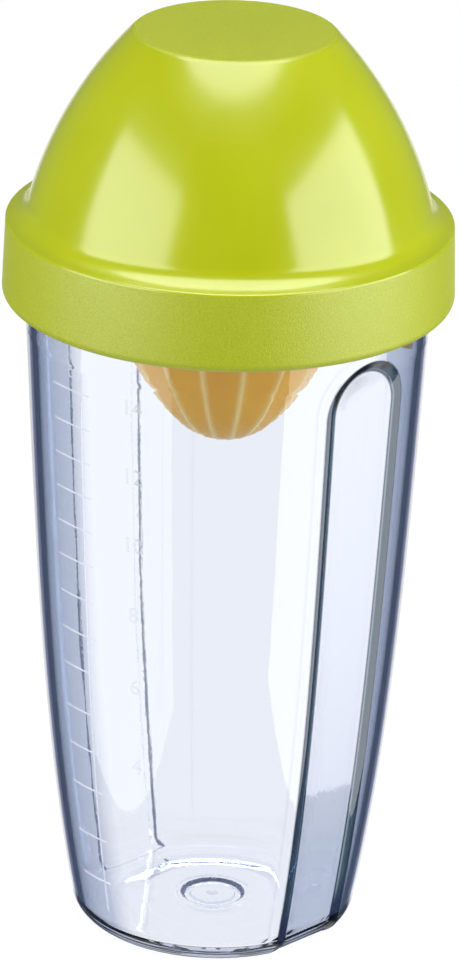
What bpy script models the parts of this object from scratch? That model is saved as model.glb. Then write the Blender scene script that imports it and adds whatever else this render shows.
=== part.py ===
"""Shaker cup with a citrus press: clear cup, amber press insert, sealing ring and green dome lid.

Metres, +Z up. The origin is the centre of the base, where the cup stands. The two grip recesses
face +X and -X, and the insert hangs in the cup's mouth with its reamer pointing down.
"""

import math

import bmesh
import bpy
from mathutils import Matrix, Vector

# Fits between the pieces
SEAT_GAP = 0.0003
INSERT_CLEARANCE = 0.0005
THREAD_ROOM = 0.0026

# Cup: the side tapers in a convex curve up to a straight neck
CUP_HEIGHT = 0.1427
CUP_RIM_RADIUS = 0.0398
CUP_BASE_RADIUS = 0.0280
CUP_NECK_HEIGHT = 0.0157
CUP_WALL = 0.0023
CUP_FLOOR = 0.0026
CUP_CORNER_RADIUS = 0.0040
CUP_INNER_CORNER_RADIUS = 0.0040
CUP_RIM_ROUNDING = 0.0007
SIDE_STRAIGHT_SHARE = 0.55
SIDE_BULGE_POWER = 3.5

# Underside of the cup: a foot ring round a raised panel with the moulding gate
FOOT_WIDTH = 0.0038
FOOT_RISE = 0.0008
GATE_RADIUS = 0.0065
GATE_DEPTH = 0.0006
GATE_PIP_RADIUS = 0.0015

# Grip recesses: an arched slot that runs out through the base edge
GRIP_BELOW_RIM = 0.0122
GRIP_TOP_HALF_WIDTH = 0.0102
GRIP_BASE_HALF_WIDTH = 0.0086
GRIP_DEPTH = 0.0020
GRIP_DRAFT = 0.0008
GRIP_STEP_WALL = 0.0018
GRIP_COUNT = 2

# Insert: flange on the rim, collar in the mouth, strainer web and fluted reamer
FLANGE_INSET = 0.0004
FLANGE_THICKNESS = 0.0018
INSERT_DEPTH = 0.0122
INSERT_WALL = 0.0016
WEB_THICKNESS = 0.0018
REAMER_RADIUS = 0.0232
REAMER_LENGTH = 0.0266
REAMER_WALL = 0.0017
REAMER_BLUNTNESS = 0.47
FLUTE_COUNT = 16
FLUTE_DEPTH_SHARE = 0.045
INSERT_TURN = math.radians(32)

# Strainer slots and the tabs that hang from the collar
SLOTS_PER_FLUTE = 2
SLOT_WIDTH = 0.0017
SLOT_EDGE = 0.0013
TAB_COUNT = 2
TAB_WIDTH = 0.0084
TAB_DROP = 0.0055
TAB_ROOT = 0.0005
TAB_ROUNDING = 0.0032

# Sealing ring between the insert's flange and the lid
SEAL_HEIGHT = 0.0019
SEAL_WIDTH = 0.0028
SEAL_ROUNDING = 0.0004

# Lid: skirt over the neck, flange, dome and flat top
LID_WALL = 0.0021
SKIRT_WALL = 0.00235
SKIRT_DEPTH = 0.0159
SKIRT_FLARE = 0.0006
SKIRT_EDGE_ROUNDING = 0.0013
FLANGE_LEDGE = 0.00355
FLANGE_ROUNDING = 0.0014
DOME_HEIGHT = 0.0386
DOME_FILLET = 0.0026
DOME_CURVE_RADIUS = 0.082
TOP_DISC_RADIUS = 0.0198
TOP_DISC_ROUNDING = 0.0022
SEAL_LEDGE_THICKNESS = 0.0016
SEAL_LIP_DROP = 0.0012
SEAL_LIP_WIDTH = 0.0009

# Smoothness of the round shapes, and how far a cutter reaches past what it cuts
CUP_STEPS = 64
LID_STEPS = 56
SEAL_STEPS = 48
STEPS_PER_FLUTE = 4
CORNER_STEPS = 4
SIDE_STEPS = 8
ARC_STEPS = 3
SEAL_ARC_STEPS = 1
DOME_STEPS = 6
REAMER_STEPS = 6
GRIP_ARCH_STEPS = 8
GRIP_COLUMNS = 6
TAB_ROUND_STEPS = 3
CORNER_REACH_SHARE = 0.49
CUT_OVERRUN = 0.003
MERGE_DISTANCE = 0.00001
SHARP_ANGLE = math.radians(32)
CUP_SOLVER = "MANIFOLD"

# Heights and radii where the pieces meet
NECK_START = CUP_HEIGHT - CUP_NECK_HEIGHT
FLOOR_TOP = FOOT_RISE + CUP_FLOOR
MOUTH_RADIUS = CUP_RIM_RADIUS - CUP_WALL
GRIP_TOP = CUP_HEIGHT - GRIP_BELOW_RIM
FLANGE_UNDERSIDE = CUP_HEIGHT + SEAT_GAP
FLANGE_TOP = FLANGE_UNDERSIDE + FLANGE_THICKNESS
FLANGE_RADIUS = CUP_RIM_RADIUS - FLANGE_INSET
SEAL_BOTTOM = FLANGE_TOP + SEAT_GAP
SEAL_TOP = SEAL_BOTTOM + SEAL_HEIGHT
SEAL_RADIUS = FLANGE_RADIUS
LID_SEAT = SEAL_TOP + SEAT_GAP
LID_FLANGE_TOP = LID_SEAT + LID_WALL
LID_TOP = LID_FLANGE_TOP + DOME_HEIGHT
SKIRT_BOTTOM = LID_FLANGE_TOP - SKIRT_DEPTH
SKIRT_INNER_RADIUS = CUP_RIM_RADIUS + THREAD_ROOM
SKIRT_RADIUS = SKIRT_INNER_RADIUS + SKIRT_WALL
SHOULDER_RADIUS = SKIRT_RADIUS - SKIRT_FLARE
DOME_FOOT_RADIUS = SHOULDER_RADIUS - FLANGE_LEDGE


def clear_scene():
    """Remove every object that the scene starts with."""
    for thing in list(bpy.data.objects):
        bpy.data.objects.remove(thing, do_unlink=True)


def new_collection(name):
    """Add a collection to the scene."""
    collection = bpy.data.collections.new(name)
    bpy.context.scene.collection.children.link(collection)
    return collection


def plastic(name, colour, roughness, transmission=0.0, ior=1.5, alpha=1.0):
    """Principled material for one piece."""
    material = bpy.data.materials.new(name)
    material.use_nodes = True
    shader = material.node_tree.nodes["Principled BSDF"]
    shader.inputs["Base Color"].default_value = (*colour, 1.0)
    shader.inputs["Roughness"].default_value = roughness
    shader.inputs["Metallic"].default_value = 0.0
    shader.inputs["Transmission Weight"].default_value = transmission
    shader.inputs["IOR"].default_value = ior
    shader.inputs["Alpha"].default_value = alpha
    material.diffuse_color = (*colour, alpha)
    return material


def rounded(corners, arc_steps=ARC_STEPS):
    """Profile points from (radius, height, rounding) corners, with an arc at each rounded corner."""
    points = []
    for index, (radius, height, rounding) in enumerate(corners):
        here = Vector((radius, height))
        if not rounding:
            points.append(here)
            continue
        before = Vector(corners[index - 1][:2]) - here
        after = Vector(corners[(index + 1) % len(corners)][:2]) - here
        half_angle = before.angle(after) / 2
        shortest = min(before.length, after.length)
        reach = min(rounding / math.tan(half_angle), shortest * CORNER_REACH_SHARE)
        arc_radius = reach * math.tan(half_angle)
        to_centre = (before.normalized() + after.normalized()).normalized()
        centre = here + to_centre * (arc_radius / math.sin(half_angle))
        start = here + before.normalized() * reach - centre
        end = here + after.normalized() * reach - centre
        sweep = start.angle_signed(end)
        for step in range(arc_steps + 1):
            turn = Matrix.Rotation(-sweep * step / arc_steps, 2)
            points.append(centre + turn @ start)
    return points


def turned(name, profile, steps, collection, closed=False):
    """Turn a profile about Z. It runs down the outer side, from the axis to the axis or in a loop."""
    mesh = bpy.data.meshes.new(name)
    edges = [(index, index + 1) for index in range(len(profile) - 1)]
    if closed:
        edges.append((len(profile) - 1, 0))
    mesh.from_pydata([(point[0], 0, point[1]) for point in profile], edges, [])
    piece = bpy.data.objects.new(name, mesh)
    collection.objects.link(piece)
    screw = piece.modifiers.new("Turn", "SCREW")
    screw.axis = "Z"
    screw.angle = math.tau
    screw.steps = steps
    screw.render_steps = steps
    screw.use_merge_vertices = True
    screw.merge_threshold = MERGE_DISTANCE
    return piece


def mesh_piece(name, work, collection):
    """Object from a bmesh."""
    mesh = bpy.data.meshes.new(name)
    bmesh.ops.recalc_face_normals(work, faces=work.faces)
    work.to_mesh(mesh)
    work.free()
    piece = bpy.data.objects.new(name, mesh)
    collection.objects.link(piece)
    return piece


def boolean(piece, tool, operation, solver="EXACT"):
    """Cut a tool from a piece, or join it on."""
    modifier = piece.modifiers.new(tool.name, "BOOLEAN")
    modifier.object = tool
    modifier.operation = operation
    modifier.solver = solver


def as_tool(piece):
    """Mark a cutter, which isn't part of the model."""
    piece.hide_render = True
    piece.display_type = "WIRE"
    return piece


def apply_modifiers(piece):
    """Turn a piece with its modifiers into a plain mesh."""
    bpy.context.view_layer.update()
    depsgraph = bpy.context.evaluated_depsgraph_get()
    mesh = bpy.data.meshes.new_from_object(piece.evaluated_get(depsgraph))
    piece.modifiers.clear()
    piece.data = mesh


def finish(piece, material):
    """Apply the modifiers, shade the round faces smooth and set the material."""
    apply_modifiers(piece)
    piece.data.shade_smooth()
    piece.data.set_sharp_from_angle(angle=SHARP_ANGLE)
    piece.data.materials.clear()
    piece.data.materials.append(material)


def side_radius(height):
    """Outside radius of the cup's side, run straight down to the base plane."""
    rise = min(max(height / NECK_START, 0.0), 1.0)
    bulge = 1 - (1 - rise) ** SIDE_BULGE_POWER
    widening = SIDE_STRAIGHT_SHARE * rise + (1 - SIDE_STRAIGHT_SHARE) * bulge
    return CUP_BASE_RADIUS + (CUP_RIM_RADIUS - CUP_BASE_RADIUS) * widening


def outer_radius(height):
    """Outside radius of the cup with its rounded bottom corner."""
    below = CUP_CORNER_RADIUS - max(height, 0.0)
    if below <= 0:
        return side_radius(height)
    return side_radius(height) - CUP_CORNER_RADIUS + math.sqrt(CUP_CORNER_RADIUS ** 2 - below ** 2)


def corner_heights():
    """Heights round the bottom corner, from the base up."""
    quarter = math.pi / 2
    return [CUP_CORNER_RADIUS * (1 - math.cos(quarter * step / CORNER_STEPS)) for step in range(CORNER_STEPS)]


def heights_between(low, high, steps):
    """Even heights from low to high, both included."""
    return [low + (high - low) * step / steps for step in range(steps + 1)]


def cup_outside(collection):
    """Solid of the cup's outer shape with the foot ring and the gate on its underside."""
    heights = corner_heights() + heights_between(CUP_CORNER_RADIUS, NECK_START, SIDE_STEPS)
    foot_inner = outer_radius(0) - FOOT_WIDTH
    gate_top = FOOT_RISE + GATE_DEPTH
    profile = [
        (0, CUP_HEIGHT),
        (CUP_RIM_RADIUS - CUP_RIM_ROUNDING, CUP_HEIGHT),
        (CUP_RIM_RADIUS, CUP_HEIGHT - CUP_RIM_ROUNDING),
    ]
    profile += [(outer_radius(height), height) for height in reversed(heights)]
    profile += [
        (foot_inner, 0),
        (foot_inner - FOOT_RISE, FOOT_RISE),
        (GATE_RADIUS, FOOT_RISE),
        (GATE_RADIUS - GATE_DEPTH, gate_top),
        (GATE_PIP_RADIUS, gate_top),
        (GATE_PIP_RADIUS, FOOT_RISE),
        (0, FOOT_RISE),
    ]
    return turned("cup", profile, CUP_STEPS, collection)


def cup_cavity(collection):
    """Solid of the space inside the cup, open past the rim."""
    corner_top = FLOOR_TOP + CUP_INNER_CORNER_RADIUS
    profile = [(0, CUP_HEIGHT + CUT_OVERRUN), (MOUTH_RADIUS, CUP_HEIGHT + CUT_OVERRUN)]
    for height in reversed(heights_between(corner_top, NECK_START, SIDE_STEPS)):
        profile.append((side_radius(height) - CUP_WALL, height))
    arc_centre = side_radius(corner_top) - CUP_WALL - CUP_INNER_CORNER_RADIUS
    for step in range(1, CORNER_STEPS + 1):
        angle = math.pi / 2 * step / CORNER_STEPS
        radius = arc_centre + CUP_INNER_CORNER_RADIUS * math.cos(angle)
        profile.append((radius, corner_top - CUP_INNER_CORNER_RADIUS * math.sin(angle)))
    profile.append((0, FLOOR_TOP))
    return as_tool(turned("cup_cavity", profile, CUP_STEPS, collection))


def grip_rows(growth):
    """(height, half width) rows of a grip's arched outline, grown outwards, from below the base up."""
    spring = GRIP_TOP - GRIP_TOP_HALF_WIDTH
    base = GRIP_BASE_HALF_WIDTH + growth
    top = GRIP_TOP_HALF_WIDTH + growth
    rows = [(-CUT_OVERRUN, base)]
    heights = corner_heights() + heights_between(CUP_CORNER_RADIUS, spring, SIDE_STEPS)
    for height in heights:
        rows.append((height, base + (top - base) * height / spring))
    for step in range(1, GRIP_ARCH_STEPS + 1):
        angle = math.pi / 2 * step / GRIP_ARCH_STEPS
        rows.append((spring + top * math.sin(angle), top * math.cos(angle)))
    return rows


def pad_grid(work, rows, radius_at, turn):
    """Grid of vertices over an arched outline, wrapped round the axis at radius_at each height."""
    grid = []
    for height, half_width in rows:
        line = []
        for column in range(GRIP_COLUMNS + 1):
            across = half_width * (2 * column / GRIP_COLUMNS - 1)
            out = math.sqrt(radius_at(height) ** 2 - across ** 2)
            line.append(work.verts.new(turn @ Vector((out, across, height))))
        grid.append(line)
    return grid


def add_pad(work, inner, outer):
    """Close two grids into a pad."""
    last_row = len(inner) - 1
    for row in range(last_row):
        for column in range(GRIP_COLUMNS):
            for grid in (inner, outer):
                below, above = grid[row], grid[row + 1]
                work.faces.new((below[column], below[column + 1], above[column + 1], above[column]))
        for column in (0, GRIP_COLUMNS):
            side = (inner[row][column], outer[row][column], outer[row + 1][column], inner[row + 1][column])
            work.faces.new(side)
    for row in (0, last_row):
        for column in range(GRIP_COLUMNS):
            end = (inner[row][column], inner[row][column + 1], outer[row][column + 1], outer[row][column])
            work.faces.new(end)


def grip_pads(name, growth, face_radius, collection):
    """Pads with a grip's arched outline: their inner faces lie at face_radius, their sides flare outwards."""
    proud = GRIP_DEPTH + CUT_OVERRUN
    spread = proud * GRIP_DRAFT / GRIP_DEPTH
    work = bmesh.new()
    for index in range(GRIP_COUNT):
        turn = Matrix.Rotation(math.tau * index / GRIP_COUNT, 3, "Z")
        inner = pad_grid(work, grip_rows(growth), face_radius, turn)
        outer_rows = grip_rows(growth + spread)
        outer = pad_grid(work, outer_rows, lambda height: face_radius(height) + proud, turn)
        add_pad(work, inner, outer)
    bmesh.ops.remove_doubles(work, verts=work.verts, dist=MERGE_DISTANCE)
    bmesh.ops.dissolve_degenerate(work, edges=work.edges, dist=MERGE_DISTANCE)
    return as_tool(mesh_piece(name, work, collection))


def around(piece, count, collection):
    """Copies of a piece at even turns about Z, the piece itself first."""
    copies = [piece]
    for index in range(1, count):
        copy = bpy.data.objects.new(f"{piece.name}_{index + 1}", piece.data)
        copy.rotation_euler.z = math.tau * index / count
        collection.objects.link(copy)
        copies.append(as_tool(copy))
    return copies


def recess_floor(height):
    """Radius of a grip recess's floor."""
    return outer_radius(height) - GRIP_DEPTH


def bulge_face(height):
    """Radius of a grip's bulge on the inside of the cup."""
    return side_radius(height) - GRIP_DEPTH - CUP_WALL


def make_cup(parts, cutters):
    """Cup: outer solid less the grips, less a cavity that the grips' inner bulges reach into."""
    cup = cup_outside(parts)
    cavity = cup_cavity(cutters)
    bulges = grip_pads("grip_bulges", GRIP_STEP_WALL, bulge_face, cutters)
    recesses = grip_pads("grip_recesses", 0.0, recess_floor, cutters)
    boolean(cavity, bulges, "DIFFERENCE", CUP_SOLVER)
    boolean(cup, recesses, "DIFFERENCE", CUP_SOLVER)
    boolean(cup, cavity, "DIFFERENCE", CUP_SOLVER)
    return cup


def reamer_profile(radius, tip, top):
    """Points of a reamer surface from its tip up to the web."""
    points = []
    for step in range(REAMER_STEPS + 1):
        rise = (step / REAMER_STEPS) ** 2
        points.append((radius * rise ** REAMER_BLUNTNESS, tip + (top - tip) * rise))
    return points


def insert_neck_radius():
    """Outside radius of the collar's lower part, which clears the grips' inner bulges."""
    return side_radius(GRIP_TOP) - CUP_WALL - GRIP_DEPTH - INSERT_CLEARANCE


def insert_step_height():
    """Height where the collar steps in, above the tops of the grips' inner bulges."""
    return GRIP_TOP + GRIP_STEP_WALL + GRIP_DRAFT + INSERT_CLEARANCE


def insert_body(collection):
    """Turned shape of the insert, before its flutes, slots and tabs."""
    underside = CUP_HEIGHT - INSERT_DEPTH
    web_top = underside + WEB_THICKNESS
    tip = underside - REAMER_LENGTH
    collar = MOUTH_RADIUS - INSERT_CLEARANCE
    neck = insert_neck_radius()
    step = insert_step_height()
    step_run = collar - neck
    inner_shift = INSERT_WALL * math.tan(math.pi / 8)
    inside = reamer_profile(REAMER_RADIUS - REAMER_WALL, tip + REAMER_WALL, web_top)
    outside = reamer_profile(REAMER_RADIUS, tip, underside)
    profile = inside + [
        (neck - INSERT_WALL, web_top),
        (neck - INSERT_WALL, step + inner_shift),
        (collar - INSERT_WALL, step + step_run + inner_shift),
        (collar - INSERT_WALL, FLANGE_TOP),
        (FLANGE_RADIUS, FLANGE_TOP),
        (FLANGE_RADIUS, FLANGE_UNDERSIDE),
        (collar, FLANGE_UNDERSIDE),
        (collar, step + step_run),
        (neck, step),
        (neck, underside),
    ]
    profile += reversed(outside)
    return turned("citrus_insert", profile, FLUTE_COUNT * STEPS_PER_FLUTE, collection)


def cut_flutes(piece):
    """Draw the reamer's skin in between its ridges, inside and outside alike."""
    reach = REAMER_RADIUS + MERGE_DISTANCE
    for vertex in piece.data.vertices:
        radius = math.hypot(vertex.co.x, vertex.co.y)
        if MERGE_DISTANCE < radius < reach:
            angle = math.atan2(vertex.co.y, vertex.co.x)
            hollow = abs(math.sin(FLUTE_COUNT / 2 * angle))
            share = 1 - FLUTE_DEPTH_SHARE * hollow
            vertex.co.x *= share
            vertex.co.y *= share


def strainer_slots(collection):
    """Cutter for the radial slots in the strainer web."""
    work = bmesh.new()
    inner = REAMER_RADIUS + SLOT_EDGE
    outer = insert_neck_radius() - INSERT_WALL - SLOT_EDGE
    height = CUP_HEIGHT - INSERT_DEPTH + WEB_THICKNESS / 2
    count = FLUTE_COUNT * SLOTS_PER_FLUTE
    for index in range(count):
        angle = math.tau * (index + 1 / 2) / count
        slot = bmesh.ops.create_cube(work, size=1)["verts"]
        size = (outer - inner, SLOT_WIDTH, WEB_THICKNESS + 2 * CUT_OVERRUN)
        bmesh.ops.scale(work, vec=size, verts=slot)
        upright = {edge for vertex in slot for edge in vertex.link_edges if is_upright(edge)}
        rounded_slot = bmesh.ops.bevel(
            work,
            geom=list(upright),
            offset=SLOT_WIDTH * CORNER_REACH_SHARE,
            segments=2,
            profile=0.5,
            affect="EDGES",
        )
        slot = {vertex for vertex in slot if vertex.is_valid} | set(rounded_slot["verts"])
        place = Matrix.Rotation(angle, 4, "Z") @ Matrix.Translation(((inner + outer) / 2, 0, height))
        bmesh.ops.transform(work, matrix=place, verts=list(slot))
    return as_tool(mesh_piece("strainer_slots", work, collection))


def is_upright(edge):
    """True for an edge that runs along Z."""
    along = edge.verts[1].co - edge.verts[0].co
    return math.hypot(along.x, along.y) < MERGE_DISTANCE < abs(along.z)


def runs_inwards(edge):
    """True for a lower edge that runs along X."""
    middle = (edge.verts[0].co + edge.verts[1].co) / 2
    along = edge.verts[1].co - edge.verts[0].co
    return abs(along.x) > MERGE_DISTANCE and math.hypot(along.y, along.z) < MERGE_DISTANCE and middle.z < 0


def insert_tab(collection):
    """Round-ended tab that hangs from the collar close to the cup's wall."""
    underside = CUP_HEIGHT - INSERT_DEPTH
    low = underside - TAB_DROP
    high = insert_step_height() + TAB_ROOT
    wall = side_radius(low) - CUP_WALL - INSERT_CLEARANCE
    outer = math.sqrt(wall ** 2 - (TAB_WIDTH / 2) ** 2)
    inner = insert_neck_radius() - TAB_ROOT
    work = bmesh.new()
    verts = bmesh.ops.create_cube(work, size=1)["verts"]
    bmesh.ops.scale(work, vec=(outer - inner, TAB_WIDTH, high - low), verts=verts)
    lower_edges = [edge for edge in work.edges if runs_inwards(edge)]
    bmesh.ops.bevel(
        work,
        geom=lower_edges,
        offset=min(TAB_ROUNDING, TAB_WIDTH * CORNER_REACH_SHARE),
        segments=TAB_ROUND_STEPS,
        profile=0.5,
        affect="EDGES",
    )
    bmesh.ops.translate(work, vec=((inner + outer) / 2, 0, (low + high) / 2), verts=work.verts)
    return as_tool(mesh_piece("insert_tab", work, collection))


def make_insert(parts, cutters):
    """Insert: turned body with flutes, strainer slots and two tabs, turned to its place in the cup."""
    insert = insert_body(parts)
    apply_modifiers(insert)
    cut_flutes(insert)
    boolean(insert, strainer_slots(cutters), "DIFFERENCE")
    for tab in around(insert_tab(cutters), TAB_COUNT, cutters):
        boolean(insert, tab, "UNION")
    apply_modifiers(insert)
    insert.rotation_euler.z = INSERT_TURN
    return insert


def make_seal(parts):
    """Sealing ring: a turned loop with eased edges."""
    inner = SEAL_RADIUS - SEAL_WIDTH
    corners = [
        (inner, SEAL_TOP, SEAL_ROUNDING),
        (SEAL_RADIUS, SEAL_TOP, SEAL_ROUNDING),
        (SEAL_RADIUS, SEAL_BOTTOM, SEAL_ROUNDING),
        (inner, SEAL_BOTTOM, SEAL_ROUNDING),
    ]
    return turned("lid_seal", rounded(corners, SEAL_ARC_STEPS), SEAL_STEPS, parts, closed=True)


def dome_centre():
    """Centre of the arc through the dome's foot and the edge of the top disc."""
    foot = Vector((DOME_FOOT_RADIUS, LID_FLANGE_TOP))
    top = Vector((TOP_DISC_RADIUS, LID_TOP))
    chord = top - foot
    inwards = Vector((-chord.y, chord.x)).normalized()
    return (foot + top) / 2 + inwards * math.sqrt(DOME_CURVE_RADIUS ** 2 - (chord.length / 2) ** 2)


def dome_radius(height, inset):
    """Radius of the dome's skin at a height, inset towards the inside."""
    centre = dome_centre()
    return centre.x + math.sqrt((DOME_CURVE_RADIUS - inset) ** 2 - (height - centre.y) ** 2)


def make_lid(parts):
    """Lid: one turned shell with a ledge and lip inside that hold the sealing ring."""
    inner_top = LID_TOP - LID_WALL
    ledge_top = LID_SEAT + SEAL_LEDGE_THICKNESS
    lip_outer = SEAL_RADIUS - SEAL_WIDTH - SEAT_GAP
    lip_inner = lip_outer - SEAL_LIP_WIDTH
    inner_foot = ledge_top + dome_radius(ledge_top, LID_WALL) - lip_inner
    corners = [(0, LID_TOP, 0), (TOP_DISC_RADIUS, LID_TOP, TOP_DISC_ROUNDING)]
    for height in reversed(heights_between(LID_FLANGE_TOP, LID_TOP, DOME_STEPS)[1:-1]):
        corners.append((dome_radius(height, 0.0), height, 0))
    corners += [
        (DOME_FOOT_RADIUS, LID_FLANGE_TOP, DOME_FILLET),
        (SHOULDER_RADIUS, LID_FLANGE_TOP, FLANGE_ROUNDING),
        (SKIRT_RADIUS, SKIRT_BOTTOM, SKIRT_EDGE_ROUNDING),
        (SKIRT_INNER_RADIUS, SKIRT_BOTTOM, 0),
        (SKIRT_INNER_RADIUS, LID_SEAT, 0),
        (lip_outer, LID_SEAT, 0),
        (lip_outer, LID_SEAT - SEAL_LIP_DROP, 0),
        (lip_inner, LID_SEAT - SEAL_LIP_DROP, 0),
        (lip_inner, ledge_top, 0),
    ]
    for height in heights_between(inner_foot, inner_top, DOME_STEPS)[:-1]:
        corners.append((dome_radius(height, LID_WALL), height, 0))
    corners += [(dome_radius(inner_top, LID_WALL), inner_top, TOP_DISC_ROUNDING), (0, inner_top, 0)]
    return turned("lid", rounded(corners), LID_STEPS, parts)


def main():
    """Build the four pieces."""
    clear_scene()
    parts = new_collection("shaker_cup")
    cutters = new_collection("cutters")
    clear = plastic("clear_plastic", (0.86, 0.89, 0.95), 0.05, transmission=1.0, ior=1.5, alpha=0.35)
    amber = plastic("amber_plastic", (0.72, 0.38, 0.05), 0.25, transmission=0.4, ior=1.5, alpha=0.85)
    green = plastic("green_plastic", (0.42, 0.52, 0.02), 0.22)
    silicone = plastic("silicone", (0.80, 0.80, 0.77), 0.55)
    finish(make_cup(parts, cutters), clear)
    finish(make_insert(parts, cutters), amber)
    finish(make_seal(parts), silicone)
    finish(make_lid(parts), green)


main()
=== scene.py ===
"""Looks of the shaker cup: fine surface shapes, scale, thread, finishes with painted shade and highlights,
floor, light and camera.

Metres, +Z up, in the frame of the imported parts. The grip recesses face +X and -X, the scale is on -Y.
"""

import math

import bmesh
import bpy
import numpy as np
from mathutils import Matrix, Vector


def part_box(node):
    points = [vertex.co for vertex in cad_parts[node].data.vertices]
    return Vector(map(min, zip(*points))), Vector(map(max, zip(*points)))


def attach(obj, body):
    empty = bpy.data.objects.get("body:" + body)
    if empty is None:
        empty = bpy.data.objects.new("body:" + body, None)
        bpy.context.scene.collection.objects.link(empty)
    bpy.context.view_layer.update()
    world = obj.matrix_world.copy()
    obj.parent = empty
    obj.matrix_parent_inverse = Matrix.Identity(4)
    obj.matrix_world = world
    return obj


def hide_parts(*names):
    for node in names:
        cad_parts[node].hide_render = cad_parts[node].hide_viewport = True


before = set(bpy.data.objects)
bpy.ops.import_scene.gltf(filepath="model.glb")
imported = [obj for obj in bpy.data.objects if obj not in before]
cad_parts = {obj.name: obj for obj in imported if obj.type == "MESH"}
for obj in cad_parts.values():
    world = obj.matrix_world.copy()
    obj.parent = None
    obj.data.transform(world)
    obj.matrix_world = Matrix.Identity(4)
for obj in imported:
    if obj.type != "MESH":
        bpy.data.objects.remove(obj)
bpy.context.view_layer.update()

MM = 0.001

# Places taken from the frame
CUP_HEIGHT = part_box("cup")[1].z
FLANGE_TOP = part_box("citrus_insert")[1].z
REAMER_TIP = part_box("citrus_insert")[0].z
SEAL_BOTTOM, SEAL_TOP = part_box("lid_seal")[0].z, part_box("lid_seal")[1].z
SKIRT_BOTTOM, LID_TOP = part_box("lid")[0].z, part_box("lid")[1].z
SKIRT_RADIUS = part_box("lid")[1].x

# Cup
CUP_RIM_RADIUS = 39.8 * MM
CUP_BASE_RADIUS = 28 * MM
CUP_WALL = 2.3 * MM
CUP_NECK_START = CUP_HEIGHT - 15.7 * MM
CUP_FLOOR_TOP = 3.4 * MM
CUP_CORNER_RADIUS = 4 * MM
CUP_INNER_CORNER_RADIUS = 2.4 * MM
CUP_RIM_ROUNDING = 0.6 * MM
SIDE_STRAIGHT_SHARE = 0.55
SIDE_BULGE_POWER = 3.5
FOOT_WIDTH = 3.8 * MM
FOOT_RISE = 0.8 * MM
FOOT_SLOPE = 6 * MM
FOOT_ROUNDING = 6 * MM
GATE_RADIUS = 6.5 * MM
GATE_DEPTH = 0.6 * MM

# Grip recesses with a flat floor and a bevelled edge, and the soft bulges that they make inside the cup
GRIP_TOP = CUP_HEIGHT - 12.2 * MM
GRIP_TOP_HALF_WIDTH = 10.2 * MM
GRIP_BASE_HALF_WIDTH = 8.6 * MM
GRIP_SPRING = GRIP_TOP - GRIP_TOP_HALF_WIDTH
GRIP_DEPTH = 1.6 * MM
GRIP_BEVEL = 2.2 * MM
GRIP_EDGE_DEPTH = 0.6 * MM
GRIP_ROUNDING = 0.5 * MM
BULGE_DEPTH = 2 * MM
BULGE_BEYOND_LIP = 2.6 * MM
COLLAR_BEYOND_GRIP = 2.6 * MM

# Screw thread: three short ridges on the neck, and three under them in the skirt
THREAD_STARTS = 3
THREAD_SWEEP = math.radians(104)
THREAD_RISE = 2 * MM
THREAD_HALF_WIDTH = 0.95 * MM
THREAD_FADE = math.radians(9)
NECK_THREAD_START = CUP_HEIGHT - 3.95 * MM
NECK_THREAD_PROUD = 1.5 * MM
SKIRT_THREAD_DROP = 2.75 * MM
SKIRT_THREAD_PROUD = 1.3 * MM

# Measuring scale
TICK_HEIGHTS = (14.8, 24.6, 35.6, 44.4, 52.8, 62.2, 70.1, 78.0, 85.9, 93.2, 100.6, 107.8, 115.0, 122.3)
TICK_FROM, TICK_TO = math.radians(-102.5), math.radians(-87)
TICK_HALF_HEIGHT = 0.2 * MM
TICK_PROUD = 0.16 * MM
TEXT_PROUD = 0.08 * MM
SCALE_LINE_ANGLE = math.radians(-90)
SCALE_LINE_HALF_WIDTH = 0.12 * MM
NUMBER_ANGLE = math.radians(-72)
NUMBER_SIZE = 4.6 * MM
UNIT_ANGLE = math.radians(-92.5)
UNIT_SIZE = 4.4 * MM
MARK_GAP = 0.05 * MM

# Insert, whose strainer web lies level with the top of the grips
INSERT_CLEARANCE = 0.5 * MM
FLANGE_THICKNESS = 1.8 * MM
FLANGE_UNDERSIDE = FLANGE_TOP - FLANGE_THICKNESS
FLANGE_RADIUS = 39.4 * MM
WEB_THICKNESS = 1.8 * MM
WEB_UNDERSIDE = GRIP_TOP
WEB_TOP = WEB_UNDERSIDE + WEB_THICKNESS
COLLAR_RADIUS = CUP_RIM_RADIUS - CUP_WALL - INSERT_CLEARANCE
COLLAR_STEP = GRIP_TOP + COLLAR_BEYOND_GRIP + INSERT_CLEARANCE
INSERT_WALL = 1.6 * MM
REAMER_RADIUS = 23.2 * MM
REAMER_WALL = 1.7 * MM
REAMER_BLUNTNESS = 0.47
FLUTE_COUNT = 16
FLUTE_DEPTH_SHARE = 0.018
FLUTE_COLUMNS = (0, 0.012, 0.026, 0.042, 0.062, 0.09, 0.15, 0.25, 0.37)
RIB_HALF_WIDTH = 0.36 * MM
RIB_PROUD = 0.14 * MM
RIB_FULL_RADIUS = 8 * MM
INSERT_TURN = math.radians(32)
SLOTS_PER_FLUTE = 2
SLOT_WIDTH = 1.7 * MM
SLOT_EDGE = 1.3 * MM
TAB_COUNT = 2
TAB_TURN = math.radians(4)
TAB_WIDTH = 8.4 * MM
TAB_DROP = 4.9 * MM
TAB_DEPTH = 2.28 * MM
TAB_CLEARANCE = 0.6 * MM
TAB_ROUNDNESS = 0.8
TAB_EASE = 0.94

# Seal
SEAL_WIDTH = 2.8 * MM
SEAL_ROUNDING = 0.55 * MM

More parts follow.
